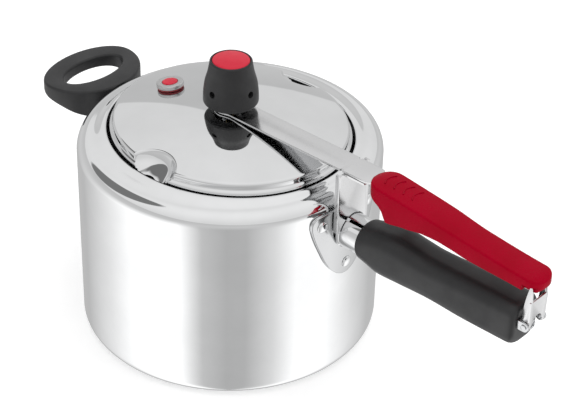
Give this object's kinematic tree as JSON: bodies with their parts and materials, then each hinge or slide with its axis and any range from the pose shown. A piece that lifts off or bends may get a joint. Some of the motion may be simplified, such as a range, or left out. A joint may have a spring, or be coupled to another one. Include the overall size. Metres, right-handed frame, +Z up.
{
  "type": "stovetop pressure cooker",
  "caption": "Polished aluminium stovetop pressure cooker with an inner-fitting oval lid on a lever arm, a black weight, red and black grips and a helper loop handle.",
  "frame": {"origin": "centre of the pot's flat base, on the surface it stands on", "axes": "+X along the long handle, +Z up, so the helper handle is at -X"},
  "size_m": [0.4165, 0.204, 0.1982],
  "materials": {
    "polished_aluminium": "polished, spun",
    "lid_aluminium": "mirror polished",
    "stainless": "polished strip",
    "zinc_steel": "plated",
    "brass": "turned",
    "black_phenolic": "satin moulded",
    "red_nylon": "satin moulded",
    "cap_red": "satin moulded",
    "white_silicone": "matt",
    "black_rubber": "matt",
    "red_silicone": "matt"
  },
  "bodies": {
    "pot": {"pot_body": "polished_aluminium", "handle_shield": "polished_aluminium", "shield_rivet_near": "polished_aluminium", "shield_rivet_far": "polished_aluminium", "shield_rivet_low": "polished_aluminium", "handle_ferrule": "polished_aluminium", "body_grip": "black_phenolic", "tie_bolt": "zinc_steel", "latch_bracket": "zinc_steel", "latch_pin_near": "zinc_steel", "latch_pin_far": "zinc_steel", "helper_handle": "black_phenolic", "helper_bracket": "zinc_steel", "helper_rivet_near": "polished_aluminium", "helper_rivet_far": "polished_aluminium", "helper_screw": "zinc_steel"},
    "lid": {"lid_shell": "lid_aluminium", "lid_gasket": "black_rubber", "vent_pipe": "brass", "vent_seal": "white_silicone", "vent_nut": "zinc_steel", "relief_body": "zinc_steel", "relief_gasket": "red_silicone", "relief_nut": "zinc_steel", "lid_arm": "stainless", "bridge_plate": "stainless", "lid_grip": "red_nylon", "lid_grip_screw_front": "zinc_steel", "lid_grip_screw_rear": "zinc_steel"},
    "weight": {"weight_body": "black_phenolic", "weight_cap": "cap_red", "weight_core": "zinc_steel"},
    "latch": {"latch_clip": "stainless"},
    "relief_plug": {"relief_plug": "cap_red"}
  },
  "joints": [
    {"name": "lid_lever", "type": "hinge", "parent": "pot", "child": "lid", "pos_m": [0.1067, 0, 0.1278], "axis": [0, -1, 0], "range_deg": [0, 4]},
    {"name": "weight_lift", "type": "slide", "parent": "lid", "child": "weight", "axis": [0, 0, 1], "range_m": [0, 0.02]},
    {"name": "latch_swing", "type": "hinge", "parent": "pot", "child": "latch", "pos_m": [0.249, 0, 0.118], "axis": [0, 1, 0], "range_deg": [0, 75]},
    {"name": "relief_pop", "type": "slide", "parent": "lid", "child": "relief_plug", "axis": [-0.1399, -0.0168, 0.99], "range_m": [0, 0.003]}
  ]
}
